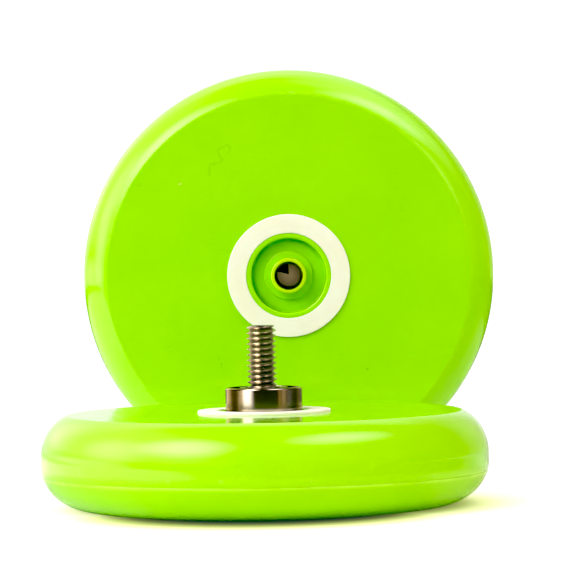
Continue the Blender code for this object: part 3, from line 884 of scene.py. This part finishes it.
def pressed_sheet(name, light, dark):
    """Stamped sheet: rolling grain one way, soft dents, oil film."""
    tree = Surface(name)
    grain = tree.noise(rough=0.6, at=tree.stretched((1.2, 26.0, 8.0), turn=(0, 0, 0.35)))
    film = tree.noise(1.1)
    colour = tree.mix(tree.ramp(grain, over=(0.3, 0.7)), light, dark)
    oily = tree.ramp(film, over=(0.5, 0.8), to=(0.0, 0.5))
    colour = tree.mix(oily, colour, darker(dark, 0.55))
    dents = tree.bump(film, distance=0.01)
    return tree.finish(colour=colour, metallic=1.0,
                       roughness=tree.ramp(grain, over=(0.25, 0.75), to=(0.22, 0.38)),
                       normal=tree.bump(grain, distance=0.0015, after=dents))


# The front half's copy is painted darker than the rear's: painted shade for the stronger light on
# the front half.
LIME_FRONT_SHADED = lime_plastic("lime_plastic_gloss", tints=((0.315, 0.715, 0.002), (0.335, 0.740, 0.003)))
LIME_REAR = lime_plastic("lime_plastic_gloss_scuffed",
                         tints=((0.338, 0.800, 0.002), (0.360, 0.825, 0.003)), marked=True)
PAD = friction_pad()
# painted glow (haze), painted reflection, and painted shade round the shields' edge (root)
STEEL = turned_metal(
    "bearing_steel_ground", light=(0.74, 0.64, 0.53), dark=(0.64, 0.54, 0.43),
    roughness=(0.07, 0.16), ring_density=16.0, depth=0.0006, grime=0.18, root=(4.60, 4.72),
    haze=(0.011, 0.004, 0.003))
# painted glow (haze), a weaker painted reflection, and painted shade in the thread roots (root)
AXLE_STEEL = turned_metal(
    "axle_steel_rolled", light=(0.80, 0.70, 0.54), dark=(0.56, 0.46, 0.33),
    roughness=(0.14, 0.26), ring_density=9.0, depth=0.0015, grime=0.25, root=(1.40, 1.80),
    lean=LEAN, haze=(0.010, 0.007, 0.018), painted_reflection_share=0.30)
NUT_METAL = nut_metal()
# The snap rings and shields are coloured near black: painted shade for the bearing's recessed
# faces.
SNAP_STEEL = turned_metal(
    "snap_ring_spring_steel", light=(0.20, 0.18, 0.15), dark=(0.13, 0.115, 0.095),
    roughness=(0.24, 0.38), ring_density=10.0, depth=0.001, grime=0.3)
BALL_STEEL = polished_ball()
# painted shade: near-black shields
SHIELD = pressed_sheet("shield_steel_pressed", light=(0.22, 0.205, 0.18), dark=(0.16, 0.15, 0.13))
CAGE = pressed_sheet("cage_steel_pressed", light=(0.60, 0.53, 0.40), dark=(0.44, 0.38, 0.28))

# colours in the solid viewport
LIME_FRONT_SHADED.diffuse_color = LIME_REAR.diffuse_color = (0.3, 0.85, 0.0, 1.0)
PAD.diffuse_color = (0.9, 0.9, 0.75, 1.0)


# ================================================================ placing the pieces
def piece(name, mesh, rides, node, material, matrix=FRONT):
    mesh = mesh.copy()
    mesh.name = name
    mesh.materials.clear()
    mesh.materials.append(material)
    ob = bpy.data.objects.new(name, mesh)
    bpy.context.scene.collection.objects.link(ob)
    ob.matrix_world = matrix
    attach(ob, rides)
    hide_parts(node)


def place_halves():
    body_mesh, cap_mesh, pad_mesh, nut_mesh = body(), side_cap(), pad(), nut()
    for side, matrix, plastic in (("front", FRONT, LIME_FRONT_SHADED), ("rear", REAR, LIME_REAR)):
        for name, mesh, node, slot, material in (
                ("body_moulding", body_mesh, "body", "lime_plastic", plastic),
                ("side_cap_moulding", cap_mesh, "side_cap", "lime_plastic", plastic),
                ("pad_ring", pad_mesh, "response_pad", "friction_pad", PAD),
                ("hex_nut", nut_mesh, "axle_nut", "nut_metal", NUT_METAL)):
            piece(f"{side}_{name}", mesh, f"{side}_half", f"{side}_{node}", material, matrix)
    piece("threaded_axle", axle(), "front_half", "axle", AXLE_STEEL)


def place_bearing():
    piece("inner_ring", inner_ring(), "bearing_core", "bearing_inner_ring",
          STEEL)
    piece("outer_ring", outer_ring(), "bearing_outer", "bearing_outer_ring",
          STEEL)
    shield_mesh, snap_mesh, ball_mesh = shield(), snap_ring(), ball()
    for side, turn in (("top", 0.0), ("bottom", math.pi)):
        at = Matrix.Translation((0, 0, BRG_Z * MM)) @ Matrix.Rotation(turn, 4, "X")
        piece(f"shield_{side}", shield_mesh, "bearing_outer", f"bearing_shield_{side}",
              SHIELD, at)
        piece(f"snap_ring_{side}", snap_mesh, "bearing_outer", f"bearing_snap_ring_{side}",
              SNAP_STEEL, at)
    piece("ball_cage_crown", cage(), "ball_cage", "bearing_cage", CAGE)
    for i in range(BALLS):
        x, y = BALL_PITCH_R * math.cos(ball_angle(i)), BALL_PITCH_R * math.sin(ball_angle(i))
        piece(f"steel_ball_{i + 1}", ball_mesh, f"ball_{i + 1}", f"bearing_ball_{i + 1}",
              BALL_STEEL, Matrix.Translation(Vector((x, y, BRG_Z)) * MM))


place_halves()
place_bearing()
for unused in [mesh for mesh in bpy.data.meshes if mesh.users == 0]:
    bpy.data.meshes.remove(unused)


# ================================================================ floor
# metres
FLOOR_LEFT, FLOOR_RIGHT, FLOOR_FRONT, FLOOR_BACK, FLOOR_Z = -0.55, 0.55, -0.10, 0.75, -0.00002
# the paper is over-exposed, so only part of what the camera sees of it is shading; the rest is a
# painted glow carrying the painted shade
FLOOR_GLOW, FLOOR_GAIN = 0.86, 0.48
# the painted soft shade under the rim: (distance from the axis in mm, colour)
SHADE_SPAN = 60.0
SHADE = ((24.0, (0.05, 0.06, 0.05)), (26.4, (0.08, 0.085, 0.065)), (29.4, (0.20, 0.21, 0.09)),
         (32.3, (0.50, 0.55, 0.20)), (35.1, (0.84, 0.85, 0.47)), (38.0, (0.94, 0.935, 0.74)),
         (41.0, (0.97, 0.965, 0.88)), (48.0, (1.0, 1.0, 1.0)))


def painted_floor_reflection(tree, right, back):
    """Painted reflection of the floor, seen by glossy rays: white paper at the left and behind, a
    dim table in front and further out. right and back are the parts of the bearing along +X and +Y."""
    radius = tree.radius
    colour = tree.mix(tree.ramp(right, over=(0.0, 0.6)), (0.42, 0.42, 0.40), (0.50, 0.50, 0.45))
    warm = (tree.ramp(right, over=(0.72, 0.90))
            * tree.ramp(radius, over=(36.0, 70.0), to=(1.0, 0.0)))
    colour = tree.mix(warm, colour, (1.1, 0.98, 0.78))
    colour = tree.mix(tree.ramp(back, over=(0.35, 0.65)), colour, (0.90, 0.90, 0.86))
    white = (tree.ramp(right, over=(-0.30, -0.72))
             * tree.ramp(radius, over=(38.0, 85.0), to=(0.25, 1.0)))
    colour = tree.mix(white, colour, (1.75, 1.75, 1.65))

    lit = tree.most(tree.ramp(right, over=(-0.3, -0.7)), tree.ramp(back, over=(0.1, 0.5)))
    to_left = tree.ramp(right, over=(-0.3, -0.7))
    lit_to = tree.ramp(lit, over=(0.0, 1.0), to=(110.0, 175.0)) + to_left * 245.0
    lit_from = tree.ramp(lit, over=(0.0, 1.0), to=(55.0, 125.0)) + to_left * 175.0
    colour = tree.mix(tree.ramp(radius, over=(lit_from, lit_to)), colour, (0.075, 0.048, 0.045))

    # the rims, whose mirrored rays skim the floor, see the white walls beyond it
    steepness = abs(tree.split(tree.signal("NewGeometry", key="Incoming"))[2])
    skims = tree.ramp(steepness, over=(0.040, 0.051), to=(1.0, 0.0))
    for way, over, tint in ((right, (-0.30, -0.72), (2.0, 2.0, 1.9)),
                            (right, (0.62, 0.80), (0.90, 0.90, 0.82)),
                            (back, (0.1, 0.4), (0.95, 0.95, 0.90))):
        colour = tree.mix(skims * tree.ramp(way, over), colour, tint)
    return colour


def pale_paper():
    """Pale paper, clear from below, with a painted shadow under the rim for the camera and a
    painted reflection for glossy rays.
    """
    tree = Surface("pale_paper")
    tooth = tree.noise(2.5, detail=4.0)
    path = tree.node("LightPath")
    to_camera = tree.out(path, "Is Camera Ray")
    right, back = tree.x / tree.radius, tree.y / tree.radius
    colour = tree.mix(tooth, (0.93, 0.93, 0.925), (0.96, 0.96, 0.955))
    colour = tree.mix(tree.out(path, "Is Glossy Ray"), colour, painted_floor_reflection(tree, right, back))

    # the painted shade is deepest in front and draws in towards the sides
    drawn_in = tree.least((back + 1.0) * 20.0, 9.0 - right * 2.5)
    painted_shade = tree.tints((tree.radius + drawn_in) / SHADE_SPAN,
                       [(distance / SHADE_SPAN, tint) for distance, tint in SHADE])
    dimmed = tree.signal("VectorMath", {0: painted_shade, "Scale": FLOOR_GAIN}, operation="SCALE")
    # the camera sees the painted shade both as colour and as a glow
    colour = tree.mix(to_camera, colour, dimmed)
    tree.finish(colour=colour, roughness=0.75, normal=tree.bump(tooth, distance=0.01),
                specular=0.0, glow=painted_shade, glow_strength=to_camera * FLOOR_GLOW)

    sides = tree.signal("MixShader", {0: tree.signal("NewGeometry", key="Backfacing"),
                                      1: tree.out(tree.bsdf),
                                      2: tree.signal("BsdfTransparent")})
    tree.put(tree.node_tree.nodes["Material Output"], "Surface", sides)
    return tree.material


def floor():
    mesh = bpy.data.meshes.new("floor")
    mesh.from_pydata([(FLOOR_LEFT, FLOOR_FRONT, FLOOR_Z), (FLOOR_RIGHT, FLOOR_FRONT, FLOOR_Z),
                      (FLOOR_RIGHT, FLOOR_BACK, FLOOR_Z), (FLOOR_LEFT, FLOOR_BACK, FLOOR_Z)],
                     [], [(0, 1, 2, 3)])
    ob = bpy.data.objects.new("floor", mesh)
    bpy.context.scene.collection.objects.link(ob)
    mesh.materials.append(pale_paper())


# ================================================================ world
X, Y, Z = 0, 1, 2
WORLD_FRONT = (0.052, 0.034, 0.036)
# (colour added, the (axis, none at, full at) ramps that must all be up)
WORLD_LOBES = (
    # backdrop
    ((1.0, 1.0, 1.0), ((Y, 0.50, 0.85), (X, 0.45, 0.12))),
    # its duller, warmer right part
    ((0.68, 0.63, 0.50), ((Y, 0.50, 0.85), (X, 0.12, 0.45))),
    # left wall of the tent, above the table
    ((1.1, 1.1, 1.1), ((X, -0.20, -0.60), (Z, 0.04, 0.22))),
    # right wall
    ((0.32, 0.29, 0.22), ((X, 0.25, 0.65), (Z, 0.08, 0.30))),
    # warm room to the right, at table level
    ((0.30, 0.21, 0.10), ((X, 0.66, 0.74), (X, 0.99, 0.93), (Z, 0.3, 0.1))),
)
CAMERA_WHITE = 1.25


def studio_world():
    """The lobes light and are mirrored by the pieces; the camera itself sees plain white."""
    world = bpy.data.worlds.new("studio")
    bpy.context.scene.world = world
    world.use_nodes = True
    world.node_tree.nodes.clear()
    tree = Nodes(world.node_tree)
    output = tree.node("OutputWorld")
    way = tree.split(tree.signal("TexCoord", key="Generated"))
    colour = WORLD_FRONT
    for tint, ramps in WORLD_LOBES:
        masks = [tree.ramp(way[axis], over=(none, full)) for axis, none, full in ramps]
        share = reduce(lambda one, other: one * other, masks)
        colour = tree.mix(share, colour, tint, blend="ADD")
    lit = tree.signal("Background", {"Color": colour})
    plain = tree.signal("Background", {"Color": (1.0, 1.0, 1.0), "Strength": CAMERA_WHITE})
    to_camera = tree.signal("LightPath", key="Is Camera Ray")
    tree.put(output, 0, tree.signal("MixShader", {0: to_camera, 1: lit, 2: plain}))


# ================================================================ lights
AIM = Vector((0.002, 0.02, 0.015))      # metres
FRONT_MOULDINGS = ["front_body_moulding", "front_side_cap_moulding"]
REAR_PLASTIC = ["rear_body_moulding", "rear_side_cap_moulding", "rear_pad_ring"]
PLASTIC = FRONT_MOULDINGS + ["front_pad_ring"] + REAR_PLASTIC
METAL = ["threaded_axle", "inner_ring", "outer_ring", "shield_top", "snap_ring_top",
         "shield_bottom", "snap_ring_bottom"]
NUTS = ["rear_hex_nut", "front_hex_nut"]
WHITE = (1, 1, 1)
BOTH, SHEEN, FILL = (True, True), (False, True), (True, False)      # (diffuse, glossy)
# name, azimuth and elevation in degrees (0 towards the camera, positive to its right), distance,
# width, height in metres, radiance, colour, faded share of the width, the only pieces lit, rays
SOFTBOXES = (
    ("key", -46, 38, 0.60, 0.66, 0.58, 7.6, WHITE, 0.45, None, BOTH),
    ("right_softbox", 54, 56, 0.60, 0.70, 0.40, 5.7, WHITE, 0.45, None, BOTH),
    ("left_wall", -84, 24, 0.60, 0.66, 0.56, 3.2, WHITE, 0.45, PLASTIC, BOTH),
    ("back_top", 180, 56, 0.70, 1.1, 0.5, 1.2, WHITE, 0.35, PLASTIC, BOTH),
    ("left_low", -98, 1, 0.60, 1.10, 0.15, 2.2, WHITE, 0.38, PLASTIC, SHEEN),
    ("left_rear", -74, 4, 0.60, 0.60, 0.34, 2.6, WHITE, 0.45, REAR_PLASTIC, SHEEN),
    ("top_rear", 96, 62, 0.60, 0.85, 1.0, 2.4, (1.0, 0.97, 0.9), 0.48, REAR_PLASTIC, SHEEN),
    ("right_rear", 46, 26, 0.60, 0.44, 0.44, 1.7, (1.0, 0.97, 0.85), 0.48, REAR_PLASTIC, SHEEN),
    ("low_fill", 14, 1, 0.60, 0.90, 0.20, 3.5, (1.0, 0.86, 0.80), 0.40, FRONT_MOULDINGS, FILL),
    ("right_fill", 84, 18, 0.60, 0.56, 0.50, 3.9, (1.0, 0.88, 0.80), 0.40, PLASTIC, FILL),
    ("table_bounce", 6, -50, 0.60, 1.0, 0.50, 1.10, (1.0, 0.97, 0.8), 0.40, FRONT_MOULDINGS,
     FILL),
    ("left_strip", -51, 2, 0.60, 0.58, 0.30, 2.6, WHITE, 0.36, METAL, BOTH),
    ("left_back_strip", -128, 3, 0.60, 0.34, 0.30, 0.85, (1.0, 0.74, 0.40), 0.22, METAL, BOTH),
    ("right_strip", 66, 2, 0.60, 0.30, 0.26, 0.46, (1.0, 0.80, 0.46), 0.20, METAL, BOTH),
    ("bore_light", 0, 3, 0.60, 0.10, 0.10, 38.0, WHITE, 0.1, NUTS, BOTH),
)


def softbox(name, azimuth, elevation, distance, wide, tall, radiance, colour, edge, only, rays):
    """An area light aimed at the object, brightest in its middle."""
    light = bpy.data.lights.new(name, "AREA")
    light.shape, light.size, light.size_y = "RECTANGLE", wide, tall
    light.energy = radiance * math.pi * wide * tall
    light.use_nodes = True
    tree = Nodes(light.node_tree)
    emission = tree.node_tree.nodes["Emission"]
    tree.put(emission, "Color", colour)
    place = tree.signal("NewGeometry", key="Parametric")
    x, y, _ = tree.split(tree.signal("VectorMath", {0: place, 1: (0.5, 0.5, 0.0)},
                                     operation="SUBTRACT"))
    from_middle = tree.signal("VectorMath", {0: tree.vector(x, y, 0.0)}, key="Value",
                              operation="LENGTH")
    tree.put(emission, "Strength",
             tree.ramp(from_middle, over=(0.5 - edge, 0.5), to=(1.0, 0.0)))

    ob = bpy.data.objects.new(name, light)
    bpy.context.scene.collection.objects.link(ob)
    turn, rise = math.radians(azimuth), math.radians(elevation)
    way = Vector((math.sin(turn) * math.cos(rise), -math.cos(turn) * math.cos(rise),
                  math.sin(rise)))
    ob.location = AIM + way * distance
    ob.rotation_mode = "QUATERNION"
    ob.rotation_quaternion = way.to_track_quat("Z", "Y")
    ob.visible_camera = False
    ob.visible_diffuse, ob.visible_glossy = rays
    if only:
        receivers = bpy.data.collections.new(name + "_receivers")
        for receiver in only:
            receivers.objects.link(bpy.data.objects[receiver])
        ob.light_linking.receiver_collection = receivers


def let_through_floor(light):
    """Light thrown back by the table in front, which the paper doesn't stop."""
    blockers = bpy.data.collections.new(light.name + "_blockers")
    for ob in bpy.data.objects:
        if ob.type == "MESH" and ob.name != "floor":
            blockers.objects.link(ob)
    light.light_linking.blocker_collection = blockers


# ================================================================ camera and view
CAMERA_AT = (0.0045, -0.4994, 0.03926)              # metres
CAMERA_TURN, CAMERA_DOWN, CAMERA_ROLL = 0.1736, 1.2250, -1.00       # degrees
FOCAL_LENGTH, SENSOR_WIDTH = 243.71, 36.0
BLACK_LEVEL = (0.045, 0.02, 0.035)


def set_camera():
    data = bpy.data.cameras.new("camera")
    data.lens, data.sensor_width = FOCAL_LENGTH, SENSOR_WIDTH
    data.clip_start, data.clip_end = 0.01, 20.0
    camera = bpy.data.objects.new("camera", data)
    bpy.context.scene.collection.objects.link(camera)
    camera.matrix_world = (Matrix.Translation(CAMERA_AT)
                           @ Matrix.Rotation(math.radians(CAMERA_TURN), 4, "Z")
                           @ Matrix.Rotation(math.radians(90 - CAMERA_DOWN), 4, "X")
                           @ Matrix.Rotation(math.radians(CAMERA_ROLL), 4, "Z"))
    bpy.context.scene.camera = camera


def set_view():
    view = bpy.context.scene.view_settings
    view.view_transform = "Standard"
    view.exposure = 0.0
    view.use_curve_mapping = True
    view.curve_mapping.black_level = BLACK_LEVEL
    view.curve_mapping.update()


floor()
studio_world()
for row in SOFTBOXES:
    softbox(*row)
let_through_floor(bpy.data.objects["table_bounce"])
set_camera()
set_view()
